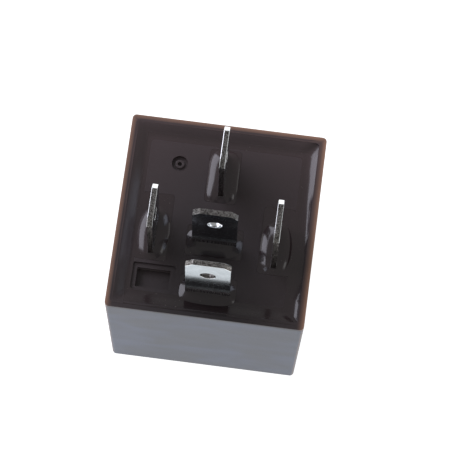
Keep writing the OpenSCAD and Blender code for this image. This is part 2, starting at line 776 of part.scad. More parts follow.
module coil_solder_joints() {
    tail_y = coil_blade_y - blade_w / 2;
    color([0.75, 0.75, 0.76]) for (side = [-1, 1]) translate([side * coil_blade_x, tail_y, joint_z])
        difference() {
            rotate([-90, 0, 0]) {
                cylinder(d = solder_d, h = tail_w);
                translate([0, 0, -solder_end_h]) cylinder(d1 = solder_d / 2, d2 = solder_d, h = solder_end_h);
                translate([0, 0, tail_w]) cylinder(d1 = solder_d, d2 = solder_d / 2, h = solder_end_h);
            }
            translate([-blade_t / 2, 0, -solder_tail]) cube([blade_t, tail_w, solder_d]);
        }
}

// Moving set

module armature() {
    cut_side = sqrt(2) * armature_cut;
    color([0.62, 0.63, 0.65]) at_rest() difference() {
        translate([-armature_w / 2, 0, 0]) rotate([90, 0, 90]) linear_extrude(armature_w)
            polygon([[armature_front_y, hinge_z - armature_t],
                     [hinge_y - hinge_chamfer, hinge_z - armature_t],
                     [hinge_y, hinge_z - armature_t + hinge_chamfer],
                     [hinge_y, hinge_z],
                     [armature_front_y, hinge_z]]);
        for (side = [-1, 1]) {
            // corners of the free end, cut away outside the pole
            translate([side * armature_w / 2, armature_front_y, hinge_z - armature_t / 2])
                rotate([0, 0, 45]) cube([cut_side, cut_side, armature_t + 2 * eps], center = true);
            translate([side * rivet_pitch / 2, armature_rivet_y, hinge_z - armature_t])
                bore(rivet_d + 2 * fit_gap, armature_t);
        }
    }
}

module contact_spring() {
    color([0.78, 0.6, 0.36]) {
        difference() {
            union() {
                translate([-spring_w / 2, yoke_back_y, bend_z - eps])
                    cube([spring_w, spring_t, pole_z + spring_leg - bend_z + eps]);
                spring_bend();
            }
            spring_window();
            for (side = [-1, 1]) translate([side * rivet_pitch / 2, yoke_back_y, spring_rivet_z])
                rotate([-90, 0, 0]) bore(rivet_d + 2 * fit_gap, spring_t);
        }
        at_rest() translate([0, 0, hinge_z - armature_t - spring_t]) linear_extrude(spring_t)
            spring_outline();
    }
}

// Roll of the spring between the upright leg and the leg under the armature
module spring_bend() {
    translate([-spring_w / 2, bend_y, bend_z]) rotate([90, 0, 90]) linear_extrude(spring_w) intersection() {
        difference() {
            circle(spring_bend_r + spring_t);
            circle(spring_bend_r);
        }
        reach = 2 * spring_bend_r;
        polygon([[0, 0], [reach, 0], [reach, -reach],
                 [reach * sin(open_angle), -reach * cos(open_angle)]]);
    }
}

// Window through the roll and the foot of the upright leg
module spring_window() {
    outer_r = spring_bend_r + spring_t + eps;
    translate([-spring_window_w / 2, bend_y - eps, bend_z - outer_r])
        cube([spring_window_w, outer_r + eps, outer_r + spring_window_rise]);
}

// The spring's flat part seen from above, from the bend to the moving contact
module spring_outline() {
    back_y = hinge_y + bend_end + eps;
    waist_y = armature_front_y + spring_waist_inset;
    window_y = armature_rivet_y + rivet_head_d / 2;
    half = spring_w / 2;
    tip = spring_tip_w / 2;
    difference() {
        union() {
            polygon([[-half, back_y], [half, back_y], [half, armature_rivet_y - rivet_head_d],
                     [tip, waist_y], [tip, contact_y], [-tip, contact_y], [-tip, waist_y],
                     [-half, armature_rivet_y - rivet_head_d]]);
            translate([0, contact_y]) circle(tip);
        }
        translate([-spring_window_w / 2, window_y]) square([spring_window_w, back_y - window_y + eps]);
        translate([0, contact_y]) circle(d = contact_shank_d + 2 * fit_gap);
        for (side = [-1, 1]) translate([side * rivet_pitch / 2, armature_rivet_y])
            circle(d = rivet_d + 2 * fit_gap);
    }
}

module spring_rivets() {
    color([0.7, 0.7, 0.72]) for (side = [-1, 1])
        translate([side * rivet_pitch / 2, yoke_back_y + spring_t, spring_rivet_z])
            rotate([-90, 0, 0]) rivet(yoke_t + spring_t);
}

module armature_rivets() {
    color([0.7, 0.7, 0.72]) at_rest() for (side = [-1, 1])
        translate([side * rivet_pitch / 2, armature_rivet_y, hinge_z - armature_t - spring_t])
            rotate([180, 0, 0]) rivet(armature_t + spring_t);
}

module moving_contact() {
    color([0.86, 0.86, 0.84]) at_rest() translate([0, contact_y, hinge_z - armature_t]) {
        contact_head();
        translate([0, 0, -spring_t - eps]) cylinder(d = contact_shank_d, h = spring_t + 2 * eps);
        translate([0, 0, -spring_t]) mirror([0, 0, 1]) contact_head();
    }
}

module no_contact() {
    color([0.86, 0.86, 0.84]) translate([0, contact_y, open_lug_z]) {
        mirror([0, 0, 1]) contact_head();
        translate([0, 0, -eps]) cylinder(d = contact_shank_d - 2 * fit_gap, h = blade_t + eps);
    }
}

module nc_contact() {
    color([0.86, 0.86, 0.84]) translate([0, contact_y, closed_lug_z + blade_t]) {
        contact_head();
        translate([0, 0, -blade_t]) cylinder(d = contact_shank_d - 2 * fit_gap, h = blade_t + eps);
    }
}

cover();
base_plate();
sealant_bead();
sealant_mounds();
terminal_30();
terminal_87();
terminal_87a();
terminal_85();
terminal_86();
yoke();
core();
bobbin();
winding();
coil_lead_85();
coil_lead_86();
coil_solder_joints();
armature();
contact_spring();
spring_rivets();
armature_rivets();
moving_contact();
no_contact();
nc_contact();
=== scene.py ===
# %% [markdown]
# # A sealed automotive relay
#
# The relay is a small black box with five flat metal blades. It stands on its closed end, with
# the blades up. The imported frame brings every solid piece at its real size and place. This lesson
# only dresses them: it softens edges, pours the sealant, winds the coil and paints each surface.
# All lengths are in metres, so MM turns millimetres into scene units.

import math

import bmesh
import bpy
import numpy as np
from mathutils import Matrix, Vector, noise


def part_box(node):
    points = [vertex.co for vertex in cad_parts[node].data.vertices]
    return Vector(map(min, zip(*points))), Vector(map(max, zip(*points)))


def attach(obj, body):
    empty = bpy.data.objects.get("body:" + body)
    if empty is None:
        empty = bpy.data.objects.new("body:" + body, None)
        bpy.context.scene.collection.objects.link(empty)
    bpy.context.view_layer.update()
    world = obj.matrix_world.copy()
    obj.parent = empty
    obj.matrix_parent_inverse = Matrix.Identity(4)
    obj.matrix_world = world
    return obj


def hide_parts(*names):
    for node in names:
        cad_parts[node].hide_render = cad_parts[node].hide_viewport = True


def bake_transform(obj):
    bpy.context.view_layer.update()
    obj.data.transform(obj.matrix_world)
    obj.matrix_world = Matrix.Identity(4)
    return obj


MM = 0.001
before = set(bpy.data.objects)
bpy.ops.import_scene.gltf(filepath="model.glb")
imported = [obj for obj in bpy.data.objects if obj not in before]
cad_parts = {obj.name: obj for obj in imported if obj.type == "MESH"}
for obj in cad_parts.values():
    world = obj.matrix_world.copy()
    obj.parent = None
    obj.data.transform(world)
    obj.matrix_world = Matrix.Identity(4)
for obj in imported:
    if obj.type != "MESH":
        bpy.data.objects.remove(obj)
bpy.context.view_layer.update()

# %% [markdown]
# Every place in the scene follows from a few boxes of the frame. The blades are bent strips that
# run down into the housing, so their own boxes say too much. The part of a strip that stands
# above the rim is the blade alone.

# %% Measure what the looks are built around
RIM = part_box("cover")[1].z
HALF_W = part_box("cover")[1].x
HALF_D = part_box("cover")[1].y
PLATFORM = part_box("base_plate")[1].z
foot = [v.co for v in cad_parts["cover"].data.vertices if v.co.z < 2 * MM]
FOOT_W, FOOT_D = max(p.x for p in foot), max(p.y for p in foot)  # half sizes of the closed end
BEAD_LOW, BEAD_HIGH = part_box("sealant_bead")
BLADES = ("terminal_30", "terminal_87", "terminal_87a", "terminal_85", "terminal_86")


def box_above(node, height):
    """Lowest and highest corner of the part of a node that lies above a height."""
    points = np.array([v.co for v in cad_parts[node].data.vertices if v.co.z > height])
    return Vector(points.min(0)), Vector(points.max(0))


blade_boxes = {name: box_above(name, RIM) for name in BLADES}
for name, (low, high) in blade_boxes.items():
    size = (high - low) / MM
    print(f"{name}: {size.x:.2f} x {size.y:.2f} mm, {size.z:.2f} mm above the rim")

# %% [markdown]
# ## Camera, floor and light
#
# A long lens from high in front keeps the box nearly square on, a little turned. The camera is
# described by the angles that a photographer would name, and its matrix is worked out from them.

# %% Camera
AIM = Vector((1.18, -0.44, 24.8)) * MM
AZIMUTH, ELEVATION, ROLL = (math.radians(a) for a in (4.43, 70.49, 3.045))
DISTANCE = 330.5 * MM


def aimed_camera(aim, azimuth, elevation, roll, distance, lens):
    """Camera that looks at a point from a direction, rolled about its own axis."""
    back = Vector((math.sin(azimuth) * math.cos(elevation),
                   -math.cos(azimuth) * math.cos(elevation), math.sin(elevation)))
    right = Vector((math.cos(azimuth), math.sin(azimuth), 0))
    turn = Matrix((right, back.cross(right), back)).transposed() @ Matrix.Rotation(roll, 3, "Z")
    data = bpy.data.cameras.new("camera")
    data.sensor_width = 36
    data.lens = lens
    data.clip_start = 0.01
    camera = bpy.data.objects.new("camera", data)
    bpy.context.collection.objects.link(camera)
    camera.matrix_world = Matrix.Translation(aim + back * distance) @ turn.to_4x4()
    bpy.context.scene.camera = camera
    return camera


aimed_camera(AIM, AZIMUTH, ELEVATION, ROLL, DISTANCE, lens=187.4)

# %% [markdown]
# Arithmetic on node sockets reads better as Python. `Wire` holds one output socket, and each
# operator adds the Math node that it stands for. `Tree` adds every other node: its settings go in
# first, then the values or wires of its sockets. The same two classes serve materials, the sky
# and geometry.

# %% Node arithmetic


class Wire:
    """Output of a node, which takes part in sums like a number."""

    def __init__(self, tree, socket):
        self.tree, self.socket = tree, socket

    def math(self, operation, *others):
        sockets = dict(enumerate((self, *others)))
        return self.tree.node("ShaderNodeMath", {"operation": operation}, sockets)

    def __add__(self, other):
        return self.math("ADD", other)

    def __sub__(self, other):
        return self.math("SUBTRACT", other)

    def __rsub__(self, other):
        return self.tree.node("ShaderNodeMath", {"operation": "SUBTRACT"}, {0: other, 1: self})

    def __mul__(self, other):
        return self.math("MULTIPLY", other)

    def __truediv__(self, other):
        return self.math("DIVIDE", other)

    __radd__, __rmul__ = __add__, __mul__

    def ramp(self, start, end):
        """0 up to start, 1 from end on, and smooth between them. With start above end it falls."""
        sockets = {"Value": self, "From Min": start, "From Max": end}
        return self.tree.node("ShaderNodeMapRange", {"interpolation_type": "SMOOTHSTEP"}, sockets)

    def part(self, name):
        """Another output of the same node."""
        return Wire(self.tree, self.socket.node.outputs[name])


class Tree:
    """Node tree that is written a node at a time."""

    def __init__(self, tree):
        self.tree = tree
        tree.nodes.clear()

    def node(self, kind, settings=None, sockets=None, output=0):
        """Adds a node, and gives the wire of one of its outputs."""
        made = self.tree.nodes.new(kind)
        for name, value in (settings or {}).items():
            setattr(made, name, value)
        for name, value in (sockets or {}).items():
            if isinstance(value, Wire):
                self.tree.links.new(value.socket, made.inputs[name])
            else:
                made.inputs[name].default_value = value
        return Wire(self, made.outputs[output]) if len(made.outputs) else None

    def noise(self, vector, scale, detail=2.0, roughness=0.5, distortion=0.0):
        sockets = {"Vector": vector, "Scale": scale, "Detail": detail,
                   "Roughness": roughness, "Distortion": distortion}
        return self.node("ShaderNodeTexNoise", {}, sockets)

    def stretched(self, vector, scale):
        """The same coordinates, scaled by a different amount along each axis."""
        return self.node("ShaderNodeMapping", {}, {"Vector": vector, "Scale": scale})

    def axes(self, vector):
        """The three numbers of a vector."""
        split = self.node("ShaderNodeSeparateXYZ", {}, {"Vector": vector})
        return split, split.part("Y"), split.part("Z")

    def blend(self, factor, first, second):
        """Colour that goes from first to second."""
        sockets = {0: factor, 6: first, 7: second}
        return self.node("ShaderNodeMix", {"data_type": "RGBA"}, sockets, output=2)


# %% [markdown]
# The relay stands on a bright white table. The table glows a little, so that it stays white right
# up to the housing, and it is also the largest lamp: the blades and the front wall mirror it. The
# sky stays dim, brighter at the sides than in front, which keeps the level top of the sealant
# dark.

# %% Floor and sky
FLOOR_SIZE = 3.0
TABLE_GREY = (0.5, 0.5, 0.5, 1)
TABLE_GLOW = 1.0
SKY_SIDE, SKY_FRONT, SKY_HIGH = 0.9, 0.12, 0.3


def make_floor():
    mesh = bpy.data.meshes.new("table")
    half = FLOOR_SIZE / 2
    corners = [(-half, -half, 0), (half, -half, 0), (half, half, 0), (-half, half, 0)]
    mesh.from_pydata(corners, [], [(0, 1, 2, 3)])
    floor = bpy.data.objects.new("table", mesh)
    bpy.context.collection.objects.link(floor)
    material = bpy.data.materials.new("white_table")
    material.use_nodes = True
    paint = Tree(material.node_tree)
    sheet = paint.node("ShaderNodeBsdfDiffuse", {}, {"Color": TABLE_GREY})
    glow = paint.node("ShaderNodeEmission", {}, {"Color": (1, 1, 1, 1), "Strength": TABLE_GLOW})
    both = paint.node("ShaderNodeAddShader", {}, {0: sheet, 1: glow})
    paint.node("ShaderNodeOutputMaterial", {}, {"Surface": both})
    mesh.materials.append(material)


def make_sky():
    world = bpy.data.worlds.new("sky")
    bpy.context.scene.world = world
    world.use_nodes = True
    paint = Tree(world.node_tree)
    direction = paint.node("ShaderNodeTexCoord", output="Generated")
    x, y, z = paint.axes(direction)
    ahead = y.ramp(-0.3, 0.3) * (SKY_HIGH - SKY_FRONT) + SKY_FRONT
    side = x.math("ABSOLUTE").ramp(0.55, 0.9) * (SKY_SIDE - SKY_HIGH)
    low_sky, high_sky = z.ramp(0.3, 0.05), z.ramp(0.05, 0.3)
    strength = (ahead + side) * low_sky + SKY_HIGH * high_sky
    sky = paint.node("ShaderNodeBackground", {}, {"Color": (1, 1, 1, 1), "Strength": strength})
    paint.node("ShaderNodeOutputWorld", {}, {"Surface": sky})


make_floor()
make_sky()

# %% [markdown]
# A softbox at the left draws the long highlights on the sealant, and a weak one at the right
# gives the small glints on the other side. Each panel is an area light that faces the relay.

# %% Softboxes


def softbox(name, place, size, radiance, colour=(1, 1, 1)):
    """Rectangular panel of a given brightness that faces the relay."""
    data = bpy.data.lights.new(name, "AREA")
    data.shape = "RECTANGLE"
    data.size, data.size_y = size
    data.color = colour
    data.energy = radiance * math.pi * size[0] * size[1]
    lamp = bpy.data.objects.new(name, data)
    bpy.context.collection.objects.link(lamp)
    place = Vector(place)
    facing = place.to_track_quat("Z", "Y").to_matrix().to_4x4()
    lamp.matrix_world = Matrix.Translation(place) @ facing


softbox("left_softbox", (-0.8, 0.42, 0.62), (1.3, 0.8), 2.8, (0.87, 0.87, 1.0))
softbox("right_softbox", (0.9, -0.1, 0.6), (0.26, 0.26), 1.2)
bpy.context.scene.view_settings.view_transform = "Standard"

# %% [markdown]
# ## Finishes
#
# Each finish is a Principled material whose colour, roughness and bump come from noise on the
# object's own coordinates, so the pattern stays on the piece when it moves. One helper adds what
# they share: the coordinates at the start, the bump and the output at the end.

# %% Finish helper


class Finish(Tree):
    """Material under construction."""

    def __init__(self, name):
        self.material = bpy.data.materials.new(name)
        self.material.use_nodes = True
        super().__init__(self.material.node_tree)
        self.here = self.node("ShaderNodeTexCoord", output="Object")

    def done(self, height=None, depth=0.0, **surface):
        """Closes the tree. Height, from 0 to 1, becomes relief of the given depth in metres."""
        sockets = {name.replace("_", " "): value for name, value in surface.items()}
        if height is not None:
            relief = {"Strength": 1.0, "Distance": depth, "Height": height}
            sockets["Normal"] = self.node("ShaderNodeBump", {}, relief)
        shader = self.node("ShaderNodeBsdfPrincipled", {}, sockets)
        self.node("ShaderNodeOutputMaterial", {}, {"Surface": shader})
        return self.material


# %% [markdown]
# ** Film and painted light.** Everything at the open end wears a thin brown film of flux and dust,
# in uneven patches. Over it the colour is painted lighter towards the back and at the side and back
# walls, and darker towards the front: painted light, which also lifts the shade along the walls.
# Plate, sealant and rim mix their colour with this one wide gradient, which makes them one surface
# to the eye.

# %% Brown film and painted light
CLEAN, FILM_AND_LIGHT_BROWN = (0.016, 0.0118, 0.0128, 1), (0.078, 0.052, 0.054, 1)
FILM = 0.29          # share of the film in the middle
# Painted light: the next three numbers lighten the colour towards the back and at the walls.
LIGHT_ALONG = 0.2     # what it gains towards the back, and loses towards the front
LIGHT_AT_SIDES = 0.36    # what it gains at the side walls
LIGHT_AT_BACK = 0.38     # what it gains at the back wall
FILM_PATCHES = 0.2   # how uneven it is


def film_and_painted_light(paint):
    """Black plastic or epoxy under the film, painted lighter towards the back and the walls."""
    x, y, z = paint.axes(paint.here)
    across, along = x / HALF_W, y / HALF_D
    behind = along.math("MAXIMUM", 0.0)
    patches = paint.noise(paint.here, 120, detail=2) - 0.5
    # Painted light: the along, side and back terms lighten the colour; the patches are the film's
    # own.
    thickness = (FILM + LIGHT_ALONG * along + LIGHT_AT_SIDES * across * across
                 + LIGHT_AT_BACK * behind * behind + FILM_PATCHES * patches)
    return paint.blend(thickness, CLEAN, FILM_AND_LIGHT_BROWN)


# %% [markdown]
# ** Housing.** Glass-filled nylon, moulded black. Its walls look blue-grey where they mirror the
# table. Handling leaves a soft haze on them in lazy drifts, and the blue-grey of that haze is also
# a painted reflection, the table's mottled sheen painted into the colour; just under the rim the
# colour is darker. The upper edge has a painted warm brown glow that fades inwards over the width
# of the rim, except in front, a little brighter on the right, and the upright corners have a thin
# line of the same painted glow.

# %% Housing plastic
RIM_GLOW = 1.15 * MM
CORNER_GLOW_START, CORNER_GLOW_FULL = 0.42 * MM, 0.12 * MM
RIM_GLOW_BROWN, CORNER_GLOW_BROWN = (0.4, 0.22, 0.145, 1), (0.24, 0.15, 0.12, 1)


def housing_plastic():
    paint = Finish("housing_plastic")
    x, y, z = paint.axes(paint.here)
    drift = paint.noise(paint.stretched(paint.here, (1, 1, 1.7)), 110, detail=2, distortion=0.6)
    smear = paint.noise(paint.stretched(paint.here, (0.5, 0.5, 1.6)), 300, detail=2)
    grain = paint.noise(paint.here, 9000, detail=2)
    # Haze and painted reflection: the blue-grey drifts are partly a mottled sheen painted into the
    # colour. Just under the rim the colour is darker.
    under_rim = z.ramp(RIM - 1.1 * MM, RIM - 0.3 * MM)
    haze_and_sheen = 0.55 * drift.ramp(0.25, 0.8) + 0.15 * smear.ramp(0.35, 0.8) + 0.22 - 0.35 * under_rim
    dark, haze_and_sheen_blue = (0.012, 0.017, 0.03, 1), (0.085, 0.107, 0.17, 1)
    body = paint.blend(haze_and_sheen, dark, haze_and_sheen_blue)

    # Painted glow: a warm brown fades in over the rim's width, stronger towards the right.
    near_rim = z.ramp(RIM - 0.4 * MM, RIM - 0.05 * MM)
    out_x = (x.math("ABSOLUTE") - (HALF_W - RIM_GLOW)) / RIM_GLOW
    out_y = (y - (HALF_D - RIM_GLOW)) / RIM_GLOW
    out = out_x.math("MAXIMUM", out_y).math("MAXIMUM", 0.0)
    patchy = 0.85 + 0.4 * paint.noise(paint.here, 380, detail=2) + x * (0.15 / HALF_W)
    top = paint.blend(out * out * patchy, film_and_painted_light(paint), RIM_GLOW_BROWN)

    # Painted glow: a thin line of the same brown up the upright corners.
    in_x = FOOT_W + (HALF_W - FOOT_W) * (z / RIM) - x.math("ABSOLUTE")
    in_y = FOOT_D + (HALF_D - FOOT_D) * (z / RIM) - y.math("ABSOLUTE")
    corner = in_x.math("MAXIMUM", in_y).ramp(CORNER_GLOW_START, CORNER_GLOW_FULL) * 0.7
    colour = paint.blend(near_rim, paint.blend(corner, body, CORNER_GLOW_BROWN), top)
    roughness = 0.34 + 0.12 * drift + 0.05 * grain + 0.15 * near_rim
    return paint.done(Base_Color=colour, Roughness=roughness, height=grain, depth=0.006 * MM)


# %% [markdown]
# ** Base plate.** The same nylon straight from a spark-eroded mould, so it is matt and very finely
# pitted. Its colour is the film's, with its painted light, apart from the walls of the recesses,
# which are painted lighter: painted light that lifts the shade falling in them.

# %% Base plate plastic
POCKET_STEP, POCKET_FLOOR = PLATFORM - 0.53 * MM, PLATFORM - 1.27 * MM


def plate_plastic():
    paint = Finish("plate_plastic")
    pits = paint.noise(paint.here, 7000, detail=3, roughness=0.6)
    x, y, z = paint.axes(paint.here)
    # Painted light: the recess walls are painted lighter, which lifts the shade that falls in them.
    below_step = z.ramp(POCKET_STEP, POCKET_STEP - 0.12 * MM)
    wall = below_step * z.ramp(POCKET_FLOOR, POCKET_FLOOR + 0.27 * MM)
    colour = paint.blend(wall * 0.9, film_and_painted_light(paint), (0.17, 0.145, 0.14, 1))
    roughness = 0.45 + 0.12 * pits
    return paint.done(Base_Color=colour, Roughness=roughness, height=pits, depth=0.01 * MM)


# %% [markdown]
# **Sealant.** Black epoxy that was poured and cured. It is glossy and level where it lay deep,
# with faint ripples and a few specks of dust that settled in it. Along the left and back walls
# handling dulled it.

# %% Sealant


def sealant():
    paint = Finish("sealant_epoxy")
    ripple = paint.noise(paint.here, 420, detail=1)
    dust = paint.noise(paint.here, 5200, detail=1).ramp(0.74, 0.8)
    # The colour carries the film and its painted light.
    colour = paint.blend(dust, film_and_painted_light(paint), (0.12, 0.1, 0.09, 1))
    x, y, z = paint.axes(paint.here)
    at_left, at_back = x.ramp(-0.72 * HALF_W, -0.93 * HALF_W), y.ramp(0.78 * HALF_D, 0.92 * HALF_D)
    dulled = at_left.math("MAXIMUM", at_back)
    roughness = 0.12 + 0.06 * ripple + 0.25 * dust + 0.25 * dulled
    height = ripple * 0.8 + dust * 0.2
    return paint.done(Base_Color=colour, Roughness=roughness, IOR=1.58, height=height,
                      depth=0.006 * MM)


# %% [markdown]
# ** Blades.** Brass strip with a bright tin plate. Rolling leaves fine lines along the strip and
# soft clouds in the tin. The press shears the edges, which leaves one half smooth and one half
# torn, so the edges have a finish of their own. A much brighter copy of the tin paints a
# highlight on the edges that catch the light. The film stains the foot of each blade.

# %% Tin plate
STAIN = (0.07, 0.052, 0.055, 1)
STAIN_TOP = RIM + 2.8 * MM, RIM + 0.6 * MM
STAIN_FOOT = PLATFORM - 2 * MM, PLATFORM - 1 * MM


def tin_plate(name, dark, light, wedge):
    """Tin whose surface leans back by a slope, because the tin ran down while it was wet."""
    paint = Finish(name)
    x, y, z = paint.axes(paint.here)
    rolled = paint.noise(paint.stretched(paint.here, (6, 6, 0.4)), 1100, detail=2)
    cloud = paint.noise(paint.here, 700, detail=3, distortion=0.5)
    pits = paint.noise(paint.here, 9000, detail=1).ramp(0.7, 0.78)
    colour = paint.blend(cloud.ramp(0.3, 0.75), (*dark, 1), (*light, 1))
    stained = z.ramp(*STAIN_TOP) * z.ramp(*STAIN_FOOT)
    colour = paint.blend(stained * 0.9, colour, STAIN)
    metallic = 1.0 - 0.55 * stained
    roughness = 0.12 + 0.06 * rolled + 0.04 * cloud + 0.2 * pits + 0.1 * stained
    relief = 0.1 * MM
    rough_tin = (0.008 * rolled + 0.003 * cloud - 0.002 * pits) * (1.0 - 0.85 * stained)
    height = rough_tin - z * (wedge / relief)
    return paint.done(Base_Color=colour, Metallic=metallic, Roughness=roughness, height=height,
                      depth=relief)


def sheared_tin():
    paint = Finish("sheared_tin")
    torn = paint.noise(paint.stretched(paint.here, (1, 1, 0.35)), 5200, detail=3, roughness=0.7)
    colour = paint.blend(torn.ramp(0.35, 0.65), (0.05, 0.046, 0.042, 1), (0.32, 0.305, 0.29, 1))
    roughness = 0.3 + 0.2 * torn
    return paint.done(Base_Color=colour, Metallic=1.0, Roughness=roughness, height=torn,
                      depth=0.012 * MM)


# %% [markdown]
# ** Iron, spring and contacts.** The magnet's iron is zinc plated with a faint yellow cast, the
# spring is rolled bronze, and the contacts are silver. They differ only in colour, roughness and
# the size of their grain, so one function makes them all.

# %% Inner metals


def plain_metal(name, dark, light, rough, grain_scale, relief):
    paint = Finish(name)
    grain = paint.noise(paint.here, grain_scale, detail=3, roughness=0.6)
    cloud = paint.noise(paint.here, grain_scale / 12, detail=2)
    colour = paint.blend(cloud.ramp(0.3, 0.7), (*dark, 1), (*light, 1))
    roughness = rough + 0.15 * grain
    return paint.done(Base_Color=colour, Metallic=1.0, Roughness=roughness, height=grain,
                      depth=relief * MM)


# %% [markdown]
# ** Coil.** The bobbin is ivory nylon. The wire wears a coppery enamel: a clear coat over metal.

# %% Coil finishes


def bobbin_nylon():
    paint = Finish("bobbin_nylon")
    cloud = paint.noise(paint.here, 300, detail=3)
    grain = paint.noise(paint.here, 6000, detail=2)
    colour = paint.blend(cloud.ramp(0.3, 0.7), (0.7, 0.64, 0.52, 1), (0.8, 0.76, 0.66, 1))
    roughness = 0.4 + 0.1 * grain
    return paint.done(Base_Color=colour, Roughness=roughness, height=grain, depth=0.008 * MM)


def enamelled_copper():
    paint = Finish("enamelled_copper")
    cloud = paint.noise(paint.here, 900, detail=3)
    colour = paint.blend(cloud.ramp(0.3, 0.7), (0.42, 0.13, 0.04, 1), (0.6, 0.23, 0.08, 1))
    roughness = 0.22 + 0.15 * cloud
    return paint.done(Base_Color=colour, Metallic=1.0, Roughness=roughness, Coat_Weight=0.6)


FINISHES = {
    "housing": housing_plastic(),
    "plate": plate_plastic(),
    "sealant": sealant(),
    "tin": tin_plate("tin_plate", (0.39, 0.43, 0.455), (0.47, 0.51, 0.535), 0.105),
    # Painted highlight: the second tin is the same tin, much brighter, for the edges that catch the
    # light.
    "tin_edge": tin_plate("tin_edge", (0.84, 0.86, 0.87), (0.95, 0.96, 0.96), 0.0),
    "sheared": sheared_tin(),
    "iron": plain_metal(
        "zinc_plated_iron", (0.5, 0.5, 0.49), (0.66, 0.66, 0.62),
        rough=0.3, grain_scale=3000, relief=0.01),
    "bronze": plain_metal(
        "spring_bronze", (0.55, 0.32, 0.14), (0.72, 0.47, 0.24),
        rough=0.22, grain_scale=2600, relief=0.004),
    "silver": plain_metal(
        "contact_silver", (0.72, 0.71, 0.68), (0.9, 0.89, 0.86),
        rough=0.18, grain_scale=5000, relief=0.006),
    "rivet": plain_metal(
        "rivet_steel", (0.55, 0.55, 0.55), (0.72, 0.72, 0.72),
        rough=0.28, grain_scale=4000, relief=0.01),
    "solder": plain_metal(
        "soft_solder", (0.5, 0.51, 0.53), (0.68, 0.69, 0.7),
        rough=0.25, grain_scale=2200, relief=0.03),
    "nylon": bobbin_nylon(),
    "copper": enamelled_copper(),
}
print("finishes:", ", ".join(sorted(m.name for m in FINISHES.values())))

# %% [markdown]
# ## Pieces that keep their form
#
# The frame's meshes are loose triangles with knife-sharp edges. No real edge is that sharp, and
# it is the thin highlight along an edge that makes a small part look solid. So each piece is
# copied, its flat facets are joined, its edges get a small bevel, and the copy stands for the
# frame's node.

# %% Soften edges
WELD = 0.0005 * MM
FLAT_ANGLE = math.radians(1)
EDGE_ANGLE = math.radians(33)


def new_piece(name, mesh, finish, body):
    """Object at the origin that rides on a body and takes its finish from a material slot."""
    mesh.name = name
    piece = bpy.data.objects.new(name, mesh)
    bpy.context.collection.objects.link(piece)
    if finish:
        mesh.materials.clear()
        mesh.materials.append(FINISHES[finish])
    if body:
        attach(piece, body)
    return piece


def joined_copy(node):
    """Mesh of a node with its corners welded and its flat facets joined."""
    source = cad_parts[node].data
    points = [v.co for v in source.vertices]
    shape = bmesh.new()
    mesh = bpy.data.meshes.new(node)
    mesh.from_pydata(points, [], [tuple(p.vertices) for p in source.polygons])
    shape.from_mesh(mesh)
    bmesh.ops.remove_doubles(shape, verts=shape.verts, dist=WELD)
    bmesh.ops.dissolve_limit(shape, angle_limit=FLAT_ANGLE, verts=shape.verts, edges=shape.edges)
    shape.to_mesh(mesh)
    shape.free()
    return mesh


def finished_mesh(piece):
    """The mesh that the piece's modifiers make."""
    graph = bpy.context.evaluated_depsgraph_get()
    return bpy.data.meshes.new_from_object(piece.evaluated_get(graph), depsgraph=graph)


def softened(mesh, bevel, segments=2):
    """The mesh with its edges rounded off and its flat faces kept flat in shading."""
    work = bpy.data.objects.new("work", mesh)
    bpy.context.collection.objects.link(work)
    mesh.shade_smooth()
    round_off = work.modifiers.new("round_off", "BEVEL")
    round_off.width = bevel * MM
    round_off.segments = segments
    round_off.limit_method = "ANGLE"
    round_off.angle_limit = EDGE_ANGLE
    round_off.miter_outer = "MITER_ARC"
    level = work.modifiers.new("level", "WEIGHTED_NORMAL")
    level.keep_sharp = True
    result = finished_mesh(work)
    bpy.data.objects.remove(work)
    return result


def refined(node, finish, bevel, body="relay", segments=2):
    """Softened copy of a node, which stands for it."""
    mesh = softened(joined_copy(node), bevel, segments)
    piece = new_piece(node + "_piece", mesh, finish, body)
    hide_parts(node)
    print(f"{node}: {len(mesh.polygons)} faces")
    return piece


refined("cover", "housing", bevel=0.15, segments=3)
refined("base_plate", "plate", bevel=0.03)

# %% [markdown]
# ** Blades.** The faces that look along the strip's thickness are rolled and plated, and so are
# the rounded edges. The flats between those were sheared by the press, so they take the torn
# finish. The rounded edges, the cut corners at the far side and the hole of one blade take a much
# brighter copy of the tin, a painted highlight.

# %% Blades
# Painted highlight: this blade's hole takes the bright tin.
HIGHLIGHT_HOLE = "terminal_87a"
ROLLED, TORN = 0.97, 0.15  # how squarely a face looks along the strip's thickness


def blade_piece(node):
    """Softened blade with the bright finish on its edges and the torn one on its sheared flats."""
    piece = refined(node, "tin", bevel=0.2, segments=3)
    low, high = blade_boxes[node]
    middle = (low + high) / 2
    thin = 0 if high.x - low.x < high.y - low.y else 1
    piece.data.materials.append(FINISHES["tin_edge"])
    piece.data.materials.append(FINISHES["sheared"])
    for face in piece.data.polygons:
        facing = abs(face.normal[thin])
        far_chamfer = 0.3 < face.normal.z < 0.95 and face.normal.y > 0.3
        off_middle = abs(face.center[1 - thin] - middle[1 - thin])
        hole = face.center.z < high.z - 1 * MM and off_middle < 1.5 * MM
        # Painted highlight: rounded edges, far corners and that one hole take the bright tin.
        highlighted = facing > TORN or far_chamfer or (hole and node == HIGHLIGHT_HOLE)
        if face.center.z > RIM - 2 * MM and facing < ROLLED:
            face.material_index = 1 if highlighted else 2
    return piece


for node in BLADES:
    blade_piece(node)

